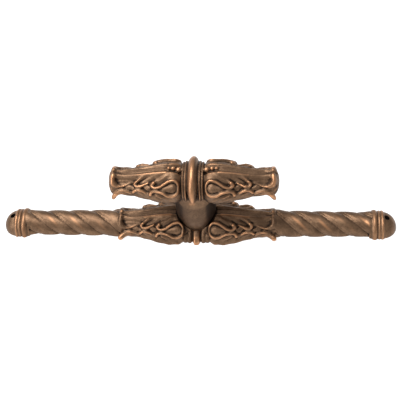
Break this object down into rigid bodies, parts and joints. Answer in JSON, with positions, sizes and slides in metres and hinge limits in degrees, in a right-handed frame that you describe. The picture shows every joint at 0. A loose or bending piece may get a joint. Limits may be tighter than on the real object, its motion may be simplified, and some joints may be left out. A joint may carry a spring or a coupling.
{
  "type": "cabinet knob",
  "caption": "Leaf-carved bar knob on a flared post, screwed to a long backplate with rope-twist bars, ringed domed ends and pin holes.",
  "frame": {"origin": "centre of the plate's flat back, where it meets the door or drawer front", "axes": "+Z out of the door towards the hand, +X along the plate, +Y across it"},
  "size_m": [0.152, 0.0196, 0.0343],
  "materials": {
    "knob_bronze": "antique bronze, rubbed to copper on the ridges",
    "plate_bronze": "antique bronze, rubbed to copper on the ridges",
    "screw_steel": "bright zinc"
  },
  "bodies": {
    "root": {"knob": "knob_bronze", "backplate": "plate_bronze", "mounting_screw": "screw_steel"}
  },
  "joints": []
}
